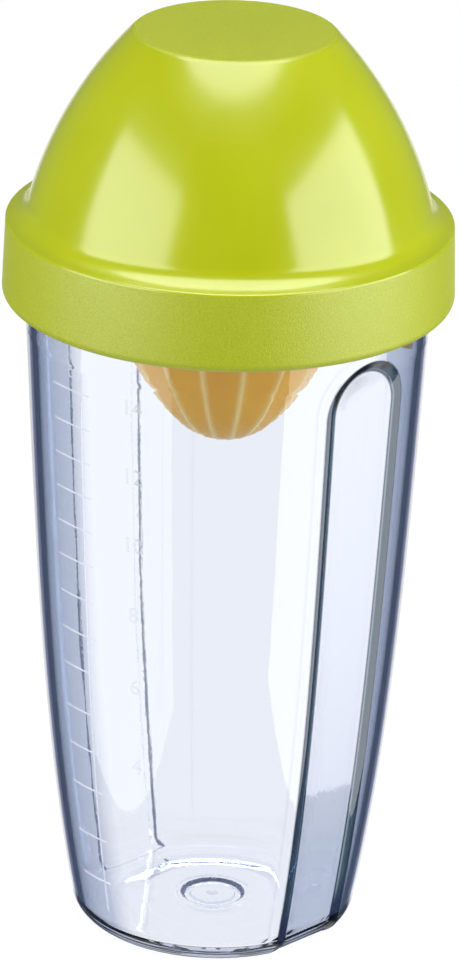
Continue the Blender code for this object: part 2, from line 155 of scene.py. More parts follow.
# Lid
FIT_GAP = 0.3 * MM
LID_WALL = 2.1 * MM
LID_SEAT = SEAL_TOP + FIT_GAP
LID_FLANGE_TOP = LID_SEAT + LID_WALL
SKIRT_CLEARANCE = 2.6 * MM
SKIRT_DRAFT = 0.6 * MM
SKIRT_ROUNDING = 1.8 * MM
SKIRT_INNER_ROUNDING = 0.4 * MM
SKIRT_INNER_RADIUS = CUP_RIM_RADIUS + SKIRT_CLEARANCE
SHOULDER_RADIUS = SKIRT_RADIUS - SKIRT_DRAFT
LEDGE_WIDTH = 3.55 * MM
DOME_FOOT_RADIUS = SHOULDER_RADIUS - LEDGE_WIDTH
DOME_CURVE_RADIUS = 82 * MM
TOP_DISC_RADIUS = 19.8 * MM
DISC_ROUNDING = 2.2 * MM
DOME_FILLET = 4.8 * MM
FLANGE_SLOPE = 0.9 * MM
SHOULDER_ROUNDING = 0.5 * MM
SEAL_LEDGE_THICKNESS = 1.6 * MM
LIP_THICKNESS = 0.9 * MM
LIP_DROP = 1.2 * MM
LIP_ROUNDING = 0.2 * MM
LID_COLUMNS = 288

# Camera, as worked out from the photograph, whose frame is 460 by 960 pixels
PHOTO_WIDTH, PHOTO_HEIGHT = 460, 960
CAMERA_AZIMUTH = math.radians(45)
CAMERA_DISTANCE = 1.11607
CAMERA_RISE = 0.54456
CAMERA_PITCH = math.radians(22)
CAMERA_ROLL = math.radians(1.5)
FOCAL_PIXELS = 6030
CENTRE_PIXEL_X, CENTRE_PIXEL_Y = 223.3, 481.2
SENSOR = 36

# World: the first two strengths light the matt colours, the others are what gloss and glass show
AMBIENT = 0.34
GROUND_LIGHT = 0.4
ROOM_COLOUR = (0.5, 0.66, 1.0)
FRONT_REFLECTION = 0.11
FRONT_THROUGH = 0.5
SIDE_REFLECTION = 0.22
TOP_REFLECTION = 0.6

# A white sheet behind the object, a white table under it and a pale ceiling, from and to these directions
BACKDROP_FROM = math.cos(math.radians(24))
BACKDROP_TO = math.cos(math.radians(15))
TABLE_FROM = -math.sin(math.radians(56))
TABLE_TO = -math.sin(math.radians(42))
CEILING_FROM = math.sin(math.radians(44))
CEILING_TO = math.sin(math.radians(54))

# Bounces past which a ray counts as deep in the object, and as caught in the clear wall
DEEP_DEPTH = 3.5
TRAPPED_DEPTH = 6.5

# Floor: matt grey plus a glow that makes it white to the camera, and a glow for caught rays
FLOOR_GREY = 0.27
FLOOR_GLOW = 0.78
FLOOR_TRAPPED_GLOW = 0.8
FLOOR_SIZE = 12
FLOOR_DROP = 0.0001

LAMP_DISTANCE = 1.2
LAMP_AIM_HEIGHT = 0.15


def rounded(corners, arc_steps=8, most=0.49):
    """Profile points from (radius, height, rounding) corners, with an arc at each rounded corner.

    An arc takes up no more than a share of the shorter side beside its corner.
    """
    points = []
    for index, (radius, height, rounding) in enumerate(corners):
        here = Vector((radius, height))
        if not rounding:
            points.append(here)
            continue
        before = Vector(corners[index - 1][:2]) - here
        after = Vector(corners[(index + 1) % len(corners)][:2]) - here
        half_angle = before.angle(after) / 2
        reach = min(rounding / math.tan(half_angle), min(before.length, after.length) * most)
        arc_radius = reach * math.tan(half_angle)
        to_centre = (before.normalized() + after.normalized()).normalized()
        centre = here + to_centre * (arc_radius / math.sin(half_angle))
        start = here + before.normalized() * reach - centre
        end = here + after.normalized() * reach - centre
        sweep = start.angle_signed(end)
        for step in range(arc_steps + 1):
            turn = Matrix.Rotation(-sweep * step / arc_steps, 2)
            points.append(centre + turn @ start)
    return points


def between(low, high, steps):
    """Even values from low to high, both included."""
    return [low + (high - low) * step / steps for step in range(steps + 1)]


def linked(name, data):
    """New object, in the scene."""
    made = bpy.data.objects.new(name, data)
    bpy.context.scene.collection.objects.link(made)
    return made


def weld(mesh, distance):
    """Join points closer than a distance, and turn the faces outwards."""
    work = bmesh.new()
    work.from_mesh(mesh)
    bmesh.ops.remove_doubles(work, verts=work.verts, dist=distance)
    bmesh.ops.recalc_face_normals(work, faces=work.faces)
    work.to_mesh(mesh)
    work.free()


def final_mesh(piece):
    """New mesh of an object as its text or its modifiers make it."""
    bpy.context.view_layer.update()
    graph = bpy.context.evaluated_depsgraph_get()
    return bpy.data.meshes.new_from_object(piece.evaluated_get(graph))


def point_places(mesh):
    """X, Y and Z of a mesh's points."""
    places = np.empty(len(mesh.vertices) * 3)
    mesh.vertices.foreach_get("co", places)
    return places.reshape(-1, 3).T


def mark_points(mesh, name, values):
    """Keep a value for each point, as an attribute that a material reads."""
    attribute = mesh.attributes.new(name, "FLOAT", "POINT")
    attribute.data.foreach_set("value", values.astype(np.float32))


class Shell:
    """Points and faces of one mesh, gathered grid by grid."""

    def __init__(self):
        self.points = []
        self.faces = []
        self.count = 0

    def add_grid(self, grid, closed=False):
        """Faces between the rows of a grid; closed joins the last column to the first."""
        rows, columns = grid.shape[:2]
        index = self.count + np.arange(rows * columns).reshape(rows, columns)
        if closed:
            index = np.hstack([index, index[:, :1]])
        corners = (index[:-1, :-1], index[:-1, 1:], index[1:, 1:], index[1:, :-1])
        self.points.append(grid.reshape(-1, 3))
        self.faces.append(np.stack(corners, -1).reshape(-1, 4))
        self.count += rows * columns

    def make(self, name, sharp_angle=35):
        """Weld the grids into one object, with its faces pointing out and smooth."""
        mesh = bpy.data.meshes.new(name)
        mesh.from_pydata(np.vstack(self.points).tolist(), [], np.vstack(self.faces).tolist())
        weld(mesh, 2e-6)
        mesh.shade_smooth()
        mesh.set_sharp_from_angle(angle=math.radians(sharp_angle))
        return linked(name, mesh)


def round_points(radius, height, angles):
    """Points at a radius, a height and each angle about Z."""
    return np.stack([radius * np.cos(angles), radius * np.sin(angles), height + 0 * angles], -1)


def turned(profile, columns, angles=None):
    """Grid of a profile's points turned about Z, in even columns or at given angles."""
    if angles is None:
        angles = np.arange(columns) * math.tau / columns
    radii = np.array([point[0] for point in profile])[:, None]
    heights = np.array([point[1] for point in profile])[:, None]
    return round_points(radii, heights, angles)


def place(piece, body, slot, material, *nodes):
    """Set the material, ride on a body and stand for the CAD nodes."""
    piece.data.materials.clear()
    piece.data.materials.append(material)
    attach(piece, body)
    if nodes:
        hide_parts(*nodes)
    return piece


def side_radius(height):
    """Outside radius of the cup's side, run straight down to the base plane."""
    rise = min(max(height / CUP_NECK_START, 0.0), 1.0)
    bulge = 1 - (1 - rise) ** SIDE_BULGE_POWER
    widening = SIDE_STRAIGHT_SHARE * rise + (1 - SIDE_STRAIGHT_SHARE) * bulge
    return CUP_BASE_RADIUS + (CUP_RIM_RADIUS - CUP_BASE_RADIUS) * widening


def outer_radius(height):
    """Outside radius of the cup with its rounded bottom corner."""
    below = CUP_CORNER_RADIUS - height
    if below <= 0:
        return side_radius(height)
    return side_radius(height) - CUP_CORNER_RADIUS + math.sqrt(max(CUP_CORNER_RADIUS ** 2 - below ** 2, 0))


def cavity_radius(height):
    """Inside radius of the cup with its rounded corner."""
    corner_top = CUP_FLOOR_TOP + CUP_INNER_CORNER_RADIUS
    below = corner_top - height
    if below <= 0:
        return side_radius(height) - CUP_WALL
    flat = side_radius(corner_top) - CUP_WALL - CUP_INNER_CORNER_RADIUS
    return flat + math.sqrt(max(CUP_INNER_CORNER_RADIUS ** 2 - below ** 2, 0))


def lip_distance(height):
    """Distance of a grip's lip from its middle line, up to where the arch springs."""
    return GRIP_BASE_HALF_WIDTH + (GRIP_TOP_HALF_WIDTH - GRIP_BASE_HALF_WIDTH) * height / GRIP_SPRING


def recess_places(lip):
    """(distance from the grip's middle, share of its depth) of the columns over half a recess."""
    corners = [
        (-GRIP_BEVEL, GRIP_EDGE_DEPTH, 0),
        (0, GRIP_EDGE_DEPTH, GRIP_ROUNDING),
        (GRIP_BEVEL, 0, GRIP_ROUNDING),
        (2 * GRIP_BEVEL, 0, 0),
    ]
    arc_steps = 5
    bevel = [
        (lip - GRIP_BEVEL + point.x, point.y / GRIP_EDGE_DEPTH)
        for point in rounded(corners, arc_steps)[1:-1]
    ]
    middle = [(distance, 1) for distance in between(0, bevel[0][0], 10)[:-1]]
    inner, outer = bevel[arc_steps], bevel[arc_steps + 1]
    halfway = ((inner[0] + outer[0]) / 2, (inner[1] + outer[1]) / 2)
    return middle + bevel[:arc_steps + 1] + [halfway] + bevel[arc_steps + 1:]


def bulge_places(lip):
    """(distance from the grip's middle, share of its depth) of the columns over half a soft bulge."""
    reach = lip + BULGE_BEYOND_LIP
    return [(reach * share, 1 - share * share * (3 - 2 * share)) for share in between(0, 1, 22)]


def recessed(across, height, share):
    """Distance from the Y axis of the cup's outside in and round a recess, whose floor is flat across."""
    surface = math.sqrt(outer_radius(height) ** 2 - across ** 2)
    floor = outer_radius(height) - GRIP_DEPTH
    return surface - share * max(surface - floor, 0)


def bulged(across, height, share):
    """Distance from the Y axis of the cup's inside on and round a bulge."""
    return math.sqrt((cavity_radius(height) - share * BULGE_DEPTH) ** 2 - across ** 2)


def wall_row(places, height, radius_at, depth_at):
    """Points of one row over a quarter of the wall: the grip's places, then even turns to the Y axis."""
    points = [(depth_at(across, level, share), across, level) for across, level, share in places]
    start = math.asin(places[-1][0] / radius_at(height))
    for angle in between(start, math.pi / 2, 60)[1:]:
        points.append((radius_at(height) * math.cos(angle), radius_at(height) * math.sin(angle), height))
    return points


def wall_quarter(radius_at, depth_at, places_at, low_heights, high_heights):
    """Two grids over a quarter of the cup's wall: up to the grip's top, and above it."""
    lower = []
    for height in low_heights:
        places = [(across, height, share) for across, share in places_at(lip_distance(height))]
        lower.append(wall_row(places, height, radius_at, depth_at))
    arch = places_at(GRIP_TOP_HALF_WIDTH)
    for angle in between(0, math.pi / 2, 36)[1:]:
        places = [
            (distance * math.cos(angle), GRIP_SPRING + distance * math.sin(angle), share)
            for distance, share in arch
        ]
        lower.append(wall_row(places, places[-1][1], radius_at, depth_at))
    apex = GRIP_SPRING + arch[-1][0]
    upper = []
    for height in [apex] + high_heights:
        if height >= apex:
            upper.append(wall_row([(0, height, 0)], height, radius_at, depth_at))
    return np.array(lower), np.array(upper)


def rings(first_row, profile):
    """Grid from a row of points inwards over rings, each point keeping its own angle."""
    angles = np.arctan2(first_row[:, 1], first_row[:, 0])
    return np.array([first_row] + [round_points(radius, height, angles) for radius, height in profile])


def thread_height(angle, height, first_height):
    """How far a thread ridge stands proud at an angle and height, from 0 to 1."""
    turn = np.mod(angle, math.tau / THREAD_STARTS)
    middle = first_height + THREAD_RISE * turn / THREAD_SWEEP
    ends = np.clip(np.minimum(turn, THREAD_SWEEP - turn) / THREAD_FADE, 0, 1)
    across = np.clip(1.6 * (1 - np.abs(height - middle) / THREAD_HALF_WIDTH), 0, 1)
    smooth = across * across * (3 - 2 * across)
    return smooth * ends * ends * (3 - 2 * ends)


def push_out(grid, amount):
    """Move a grid's points away from the Z axis."""
    radius = np.hypot(grid[..., 0], grid[..., 1])
    scale = 1 + amount / np.maximum(radius, 1e-9)
    moved = grid.copy()
    moved[..., 0] *= scale
    moved[..., 1] *= scale
    return moved


def with_thread(grid, proud, first_height):
    """A grid about the Z axis with its thread ridges, which point inwards where proud is negative."""
    angle = np.arctan2(grid[..., 1], grid[..., 0])
    return push_out(grid, proud * thread_height(angle, grid[..., 2], first_height))


def cup_outside_rows():
    """Heights of the outside's rows, below the grips' arches and above them."""
    corner = [CUP_CORNER_RADIUS * (1 - math.cos(angle)) for angle in between(0, math.pi / 2, 10)[:-1]]
    low = corner + between(CUP_CORNER_RADIUS, GRIP_SPRING, 60)
    high = between(GRIP_TOP, CUP_HEIGHT - 2 * CUP_RIM_ROUNDING, 60)
    return low, high + [CUP_HEIGHT - CUP_RIM_ROUNDING]


def cup_inside_rows():
    """Heights of the inside's rows, below the grips' arches and above them."""
    drop = CUP_INNER_CORNER_RADIUS
    corner = [CUP_FLOOR_TOP + drop * (1 - math.cos(angle)) for angle in between(0, math.pi / 2, 12)[:-1]]
    low = corner + between(CUP_FLOOR_TOP + drop, GRIP_SPRING, 60)
    return low, between(GRIP_TOP, CUP_HEIGHT - CUP_RIM_ROUNDING, 12)


def underside_profile():
    """Rings from the foot to the middle of the underside, with the moulding gate."""
    foot_inner = outer_radius(0) - FOOT_WIDTH
    corners = [
        (foot_inner + MM, 0, 0),
        (foot_inner, 0, FOOT_ROUNDING),
        (foot_inner - FOOT_SLOPE, FOOT_RISE, FOOT_ROUNDING),
        (GATE_RADIUS, FOOT_RISE, 0.3 * MM),
        (GATE_RADIUS - MM, FOOT_RISE + GATE_DEPTH / 2, 0.3 * MM),
        (0, FOOT_RISE + GATE_DEPTH / 2, 0),
    ]
    return rounded(corners, 6)


def floor_profile(reach):
    """Rings of the floor inside the cup, with the moulding gate's groove and pip."""
    disc = GATE_RADIUS * 0.68
    fine = 0.12 * MM
    corners = [
        (reach, CUP_FLOOR_TOP, 0),
        (GATE_RADIUS + 1.4 * MM, CUP_FLOOR_TOP, fine),
        (GATE_RADIUS + MM, CUP_FLOOR_TOP - 0.1 * MM, fine),
        (GATE_RADIUS + 0.6 * MM, CUP_FLOOR_TOP, fine),
        (GATE_RADIUS, CUP_FLOOR_TOP, fine),
        (GATE_RADIUS - 0.6 * MM, CUP_FLOOR_TOP - GATE_DEPTH, fine),
        (disc + 0.3 * MM, CUP_FLOOR_TOP - GATE_DEPTH, fine),
        (disc, CUP_FLOOR_TOP - GATE_DEPTH / 3, fine),
        (1.2 * MM, CUP_FLOOR_TOP - GATE_DEPTH / 3, fine),
        (0.6 * MM, CUP_FLOOR_TOP + GATE_DEPTH / 3, fine),
        (0, CUP_FLOOR_TOP + GATE_DEPTH / 3, 0),
    ]
    return rounded(corners, 5)


def mark_grip_edges(mesh):
    """Attribute on the cup, which places the painted bevel shade: 0 and 1 at the two edges of a recess's
    bevel, -1 on its floor, 2 elsewhere.
    """
    x, y, z = point_places(mesh)
    levels = between(0, CUP_HEIGHT, 400)
    outer = np.interp(z, levels, [outer_radius(level) for level in levels])
    above = np.maximum(z - GRIP_SPRING, 0)
    lip = lip_distance(np.minimum(z, GRIP_SPRING))
    share = np.clip((np.hypot(y, above) - lip + GRIP_BEVEL) / GRIP_BEVEL, -1, 2)
    deeper_than_grip = 1.85 * MM
    outside = np.hypot(x, y) > outer - deeper_than_grip
    share[~outside | (z < 0.05 * MM)] = 2
    mark_points(mesh, "grip_edge", share)


def beside_rib(angle, radius):
    """Distance round the axis to the nearest of the reamer's ribs."""
    pitch = math.tau / FLUTE_COUNT
    return np.abs(angle - pitch * np.round(angle / pitch)) * radius


def mark_rib_highlight(mesh):
    """Attribute on the insert for the painted highlight: 1 along the reamer's ribs, 0 elsewhere."""
    x, y, z = point_places(mesh)
    radius = np.hypot(x, y)
    rib = np.exp(-(beside_rib(np.arctan2(y, x), radius) / (1.6 * RIB_HALF_WIDTH)) ** 2)
    rib[(z > WEB_UNDERSIDE - 0.1 * MM) | (radius > REAMER_RADIUS + RIB_PROUD)] = 0
    mark_points(mesh, "rib", rib)


def make_cup(material):
    """The cup: outside with grips and thread, rim, inside with the grips' bulges, floor and underside."""
    shell = Shell()
    outside = wall_quarter(outer_radius, recessed, recess_places, *cup_outside_rows())
    inside = wall_quarter(cavity_radius, bulged, bulge_places, *cup_inside_rows())
    mouth = CUP_RIM_RADIUS - CUP_WALL
    rim_corners = [
        (CUP_RIM_RADIUS, CUP_HEIGHT - 3 * CUP_RIM_ROUNDING, 0),
        (CUP_RIM_RADIUS, CUP_HEIGHT, CUP_RIM_ROUNDING),
        (mouth, CUP_HEIGHT, CUP_RIM_ROUNDING),
        (mouth, CUP_HEIGHT - 3 * CUP_RIM_ROUNDING, 0),
    ]
    rim = rings(outside[1][-1], rounded(rim_corners, 6)[1:-1])
    underside = rings(outside[0][0], underside_profile())
    shares = between(1, 0, 10)[:5]
    reach = GATE_RADIUS + 3 * MM
    angles = np.arctan2(inside[0][0][:, 1], inside[0][0][:, 0])
    circle = round_points(reach, CUP_FLOOR_TOP, angles)
    floor = np.concatenate([
        [inside[0][0] * share + circle * (1 - share) for share in shares],
        rings(circle, floor_profile(reach)[1:]),
    ])
    for mirror in ((1, 1, 1), (-1, 1, 1), (-1, -1, 1), (1, -1, 1)):
        neck = with_thread(outside[1] * mirror, NECK_THREAD_PROUD, NECK_THREAD_START)
        rest = [grid * mirror for grid in (rim, inside[1], inside[0], floor, underside)]
        for grid in (outside[0] * mirror, neck, *rest):
            shell.add_grid(grid)
    piece = shell.make("cup_shell", sharp_angle=50)
    mark_grip_edges(piece.data)
    return place(piece, "cup", "clear_plastic", material, "cup")


def on_side(angle, height, proud):
    """Point on the cup's outside at an angle and height, proud of it."""
    radius = outer_radius(height) + MARK_GAP + proud
    return (radius * math.cos(angle), radius * math.sin(angle), height)


def bar(shell, path, half_width, upright):
    """Low bar with chamfered edges along a path of (angle, height) on the cup's side."""
    section = [(-1, 0), (-0.6, TICK_PROUD), (0.6, TICK_PROUD), (1, 0)]
    widths = [0] + [half_width] * len(path) + [0]
    grid = []
    for width, (angle, height) in zip(widths, path[:1] + path + path[-1:]):
        row = []
        for share, proud in section:
            shift = share * width
            turn = shift / outer_radius(height) if upright else 0
            row.append(on_side(angle + turn, height + (0 if upright else shift), proud if width else 0))
        grid.append(row)
    shell.add_grid(np.array(grid), closed=True)


def make_scale(material):
    """Raised ticks and the thin line beside them."""
    shell = Shell()
    for height in TICK_HEIGHTS:
        path = [(angle, height * MM) for angle in between(TICK_FROM, TICK_TO, 16)]
        bar(shell, path, TICK_HALF_HEIGHT, upright=False)
    path = [(SCALE_LINE_ANGLE, height) for height in between(8 * MM, TICK_HEIGHTS[-1] * MM - 1.5 * MM, 60)]
    bar(shell, path, SCALE_LINE_HALF_WIDTH, upright=True)
    return place(shell.make("scale_marks"), "cup", "clear_plastic", material)


def raised_text(name, words, size, angle, height, material):
    """Thin raised lettering bent round the cup's side, its middle at an angle and height."""
    curve = bpy.data.curves.new(name, "FONT")
    curve.body = words
    curve.size = size
    curve.align_x = "CENTER"
    curve.align_y = "CENTER"
    curve.extrude = TEXT_PROUD / 2
    curve.resolution_u = 4
    text = linked(name, curve)
    mesh = final_mesh(text)
    bpy.data.objects.remove(text)
    weld(mesh, 1e-6)
    for vertex in mesh.vertices:
        across, up, out = vertex.co
        turn = across / outer_radius(height)
        vertex.co = on_side(angle + turn, height + up, out + TEXT_PROUD / 2)
    return place(linked(name, mesh), "cup", "clear_plastic", material)


def make_numbers(material):
    """A number beside every second tick, and the unit above the scale."""
    for index in range(1, len(TICK_HEIGHTS), 2):
        height = TICK_HEIGHTS[index] * MM
        label = str(index + 1)
        raised_text(f"scale_number_{label}", label, NUMBER_SIZE, NUMBER_ANGLE, height, material)
    raised_text("scale_unit", "oz", UNIT_SIZE, UNIT_ANGLE, TICK_HEIGHTS[-1] * MM + 4 * MM, material)


def reamer_curve(radius, tip, top, steps=36):
    """Points of a reamer surface from its tip up to the web."""
    points = []
    for step in range(steps + 1):
        rise = (step / steps) ** 2
        points.append((radius * rise ** REAMER_BLUNTNESS, tip + (top - tip) * rise))
    return points


def flute_angles():
    """Angles of the insert's columns, closer together at the ribs."""
    half = np.array(FLUTE_COLUMNS)
    shares = np.concatenate([half, [0.5], 1 - half[:0:-1]])
    return np.concatenate([(index + shares) * math.tau / FLUTE_COUNT for index in range(FLUTE_COUNT)])


def fluted(grid):
    """Flatten the reamer between its ridges, and raise a thin rib on each ridge."""
    radius = np.hypot(grid[..., 0], grid[..., 1])
    angle = np.arctan2(grid[..., 1], grid[..., 0])
    hollow = np.abs(np.sin(FLUTE_COUNT / 2 * angle))
    ridge = np.exp(-(beside_rib(angle, radius) / RIB_HALF_WIDTH) ** 2)
    rib = RIB_PROUD * ridge * np.clip(radius / RIB_FULL_RADIUS, 0, 1)
    fade_width = 0.6 * MM
    fade = np.clip((REAMER_RADIUS + fade_width - radius) / fade_width, 0, 1)
    return push_out(grid, (rib - radius * FLUTE_DEPTH_SHARE * hollow) * fade)


def collar_radius():
    """Outside radius of the collar's lower part, which clears the grips' inner bulges."""
    return side_radius(GRIP_TOP) - CUP_WALL - BULGE_DEPTH - INSERT_CLEARANCE


def insert_shell():
    """Turned and fluted body of the insert."""
    neck = collar_radius()
    run = COLLAR_RADIUS - neck
    shift = INSERT_WALL * math.tan(math.pi / 8)
    fine = 0.3 * MM
    corners = [
        (REAMER_RADIUS - REAMER_WALL + MM, WEB_TOP, 0),
        (neck - INSERT_WALL, WEB_TOP, 0.8 * MM),
        (neck - INSERT_WALL, COLLAR_STEP + shift, fine),
        (COLLAR_RADIUS - INSERT_WALL, COLLAR_STEP + run + shift, fine),
        (COLLAR_RADIUS - INSERT_WALL, FLANGE_TOP, fine),
        (FLANGE_RADIUS, FLANGE_TOP, 2 * fine),
        (FLANGE_RADIUS, FLANGE_UNDERSIDE, 2 * fine),
        (COLLAR_RADIUS, FLANGE_UNDERSIDE, fine),
        (COLLAR_RADIUS, COLLAR_STEP + run, fine),
        (neck, COLLAR_STEP, fine),
        (neck, WEB_UNDERSIDE, 0.8 * MM),
        (REAMER_RADIUS + MM, WEB_UNDERSIDE, 0),
    ]
    inside = reamer_curve(REAMER_RADIUS - REAMER_WALL, REAMER_TIP + REAMER_WALL, WEB_TOP)
    outside = reamer_curve(REAMER_RADIUS, REAMER_TIP, WEB_UNDERSIDE)
    profile = inside + rounded(corners, 4) + outside[::-1]
    shell = Shell()
    shell.add_grid(fluted(turned(profile, 0, flute_angles())), closed=True)
    return shell.make("insert_shell", sharp_angle=50)


def hidden_tool(shell, name):
    """Cutter or addition that is used up by a Boolean."""
    tool = shell.make(name)
    tool.hide_render = True
    return tool


def slot_tool():
    """Radial slots with round ends, to cut through the strainer web."""
    inner = REAMER_RADIUS + SLOT_EDGE
    outer = collar_radius() - INSERT_WALL - SLOT_EDGE
    half = SLOT_WIDTH / 2
    count = FLUTE_COUNT * SLOTS_PER_FLUTE
    outline = []
    for centre, first in ((outer - half, -math.pi / 2), (inner + half, math.pi / 2)):
        for angle in between(first, first + math.pi, 8):
            outline.append((centre + half * math.cos(angle), half * math.sin(angle)))
    shell = Shell()
    for index in range(count):
        turn = math.tau * (index + 0.5) / count
        rows = []
        for height, scale in ((-1, 0), (-1, 1), (1, 1), (1, 0)):
            row = []
            for along, across in outline:
                along = (inner + outer) / 2 + (along - (inner + outer) / 2) * scale
                across *= scale
                row.append((
                    along * math.cos(turn) - across * math.sin(turn),
                    along * math.sin(turn) + across * math.cos(turn),
                    (WEB_TOP + WEB_UNDERSIDE) / 2 + height * 3 * MM,
                ))
            rows.append(row)
        shell.add_grid(np.array(rows), closed=True)
    return hidden_tool(shell, "slot_tool")


def tab_tool():
    """Round-ended tabs that hang from the collar and follow the cup's wall."""
    low = WEB_UNDERSIDE - TAB_DROP
    high = COLLAR_STEP - INSERT_CLEARANCE
    half = TAB_WIDTH / 2
    outer = side_radius(low) - CUP_WALL - TAB_CLEARANCE
    drop = half * TAB_ROUNDNESS
    outline = []
    for angle in between(math.pi, math.tau, 16):
        outline.append((half * math.cos(angle), low + drop + drop * math.sin(angle)))
    outline += [(half, high), (-half, high)]
    middle_height = (low + high) / 2
    shell = Shell()
    for index in range(TAB_COUNT):
        rows = []
        for depth, scale in ((0, 0), (0, TAB_EASE), (0.15, 1), (0.85, 1), (1, TAB_EASE), (1, 0)):
            row = []
            for across, height in outline:
                radius = outer - depth * TAB_DEPTH
                angle = math.tau * index / TAB_COUNT + TAB_TURN + across * scale / outer
                level = middle_height + (height - middle_height) * scale
                row.append((radius * math.cos(angle), radius * math.sin(angle), level))
            rows.append(row)
        shell.add_grid(np.array(rows), closed=True)
    return hidden_tool(shell, "tab_tool")


def make_insert(material):
    """The insert with its strainer slots and tabs, turned to its place in the cup."""
    piece = insert_shell()
    tools = ((slot_tool(), "DIFFERENCE"), (tab_tool(), "UNION"))
    for tool, operation in tools:
        cut = piece.modifiers.new(tool.name, "BOOLEAN")
        cut.object = tool
        cut.operation = operation
        cut.solver = "MANIFOLD"
    mesh = final_mesh(piece)
    piece.modifiers.clear()
    piece.data = mesh
    for tool, operation in tools:
        bpy.data.objects.remove(tool)
    mark_rib_highlight(mesh)
    mesh.transform(Matrix.Rotation(INSERT_TURN, 4, "Z"))
    mesh.shade_smooth()
    mesh.set_sharp_from_angle(angle=math.radians(40))
    return place(piece, "insert", "amber_plastic", material, "citrus_insert")


def make_seal(material):
    """Sealing ring with eased edges."""
    inner = FLANGE_RADIUS - SEAL_WIDTH
    corners = [
        (inner, SEAL_TOP, SEAL_ROUNDING),
        (FLANGE_RADIUS, SEAL_TOP, SEAL_ROUNDING),
        (FLANGE_RADIUS, SEAL_BOTTOM, SEAL_ROUNDING),
        (inner, SEAL_BOTTOM, SEAL_ROUNDING),
    ]
    profile = rounded(corners, 6)
    shell = Shell()
    shell.add_grid(turned(profile + profile[:1], 192), closed=True)
    return place(shell.make("seal_ring"), "seal", "silicone", material, "lid_seal")


def dome_centre():
    """Centre of the arc through the dome's foot and the edge of the top disc."""
    foot = Vector((DOME_FOOT_RADIUS, LID_FLANGE_TOP))
    top = Vector((TOP_DISC_RADIUS, LID_TOP))
    chord = top - foot
    inwards = Vector((-chord.y, chord.x)).normalized()
    return (foot + top) / 2 + inwards * math.sqrt(DOME_CURVE_RADIUS ** 2 - (chord.length / 2) ** 2)


def dome_radius(height, inset):
    """Radius of the dome's skin at a height, inset towards the inside."""
    centre = dome_centre()
    return centre.x + math.sqrt((DOME_CURVE_RADIUS - inset) ** 2 - (height - centre.y) ** 2)


def make_lid(material):
    """The lid: dome, flange and skirt outside; thread, seal ledge and dome inside."""
    outside = [(0, LID_TOP, 0), (TOP_DISC_RADIUS, LID_TOP, DISC_ROUNDING)]
    foot = LID_FLANGE_TOP + FLANGE_SLOPE
    for height in between(LID_TOP - DISC_ROUNDING, foot + 0.7 * DOME_FILLET, 60):
        outside.append((dome_radius(height, 0), height, 0))
    outside += [
        (dome_radius(foot, 0), foot, DOME_FILLET),
        (SHOULDER_RADIUS, LID_FLANGE_TOP, SHOULDER_ROUNDING),
        (SKIRT_RADIUS, SKIRT_BOTTOM, SKIRT_ROUNDING),
        (SKIRT_INNER_RADIUS, SKIRT_BOTTOM, SKIRT_INNER_ROUNDING),
        (SKIRT_INNER_RADIUS, SKIRT_BOTTOM + MM, 0),
    ]
    lip_outer = FLANGE_RADIUS - SEAL_WIDTH - FIT_GAP
    lip_inner = lip_outer - LIP_THICKNESS
    lip_bottom = LID_SEAT - LIP_DROP
    ledge_top = LID_SEAT + SEAL_LEDGE_THICKNESS
    inner_top = LID_TOP - LID_WALL
    inner_foot = ledge_top + dome_radius(ledge_top, LID_WALL) - lip_inner
    inside = [
        (SKIRT_INNER_RADIUS, LID_SEAT - MM, 0),
        (SKIRT_INNER_RADIUS, LID_SEAT, 0.5 * MM),
        (lip_outer, LID_SEAT, LIP_ROUNDING),
        (lip_outer, lip_bottom, LIP_ROUNDING),
        (lip_inner, lip_bottom, LIP_ROUNDING),
        (lip_inner, ledge_top, 0.3 * MM),
    ]
    for height in between(inner_foot, inner_top, 30)[:-1]:
        inside.append((dome_radius(height, LID_WALL), height, 0))
    inside += [(dome_radius(inner_top, LID_WALL), inner_top, 2 * MM), (0, inner_top, 0)]
    skirt = [(SKIRT_INNER_RADIUS, height) for height in between(SKIRT_BOTTOM + MM, LID_SEAT - MM, 50)]
    shell = Shell()
    shell.add_grid(turned(rounded(outside, 10, most=0.98), LID_COLUMNS), closed=True)
    first = NECK_THREAD_START - SKIRT_THREAD_DROP
    shell.add_grid(with_thread(turned(skirt, LID_COLUMNS), -SKIRT_THREAD_PROUD, first), closed=True)
    shell.add_grid(turned(rounded(inside, 6), LID_COLUMNS), closed=True)
    return place(shell.make("lid_shell"), "lid", "green_plastic", material, "lid")


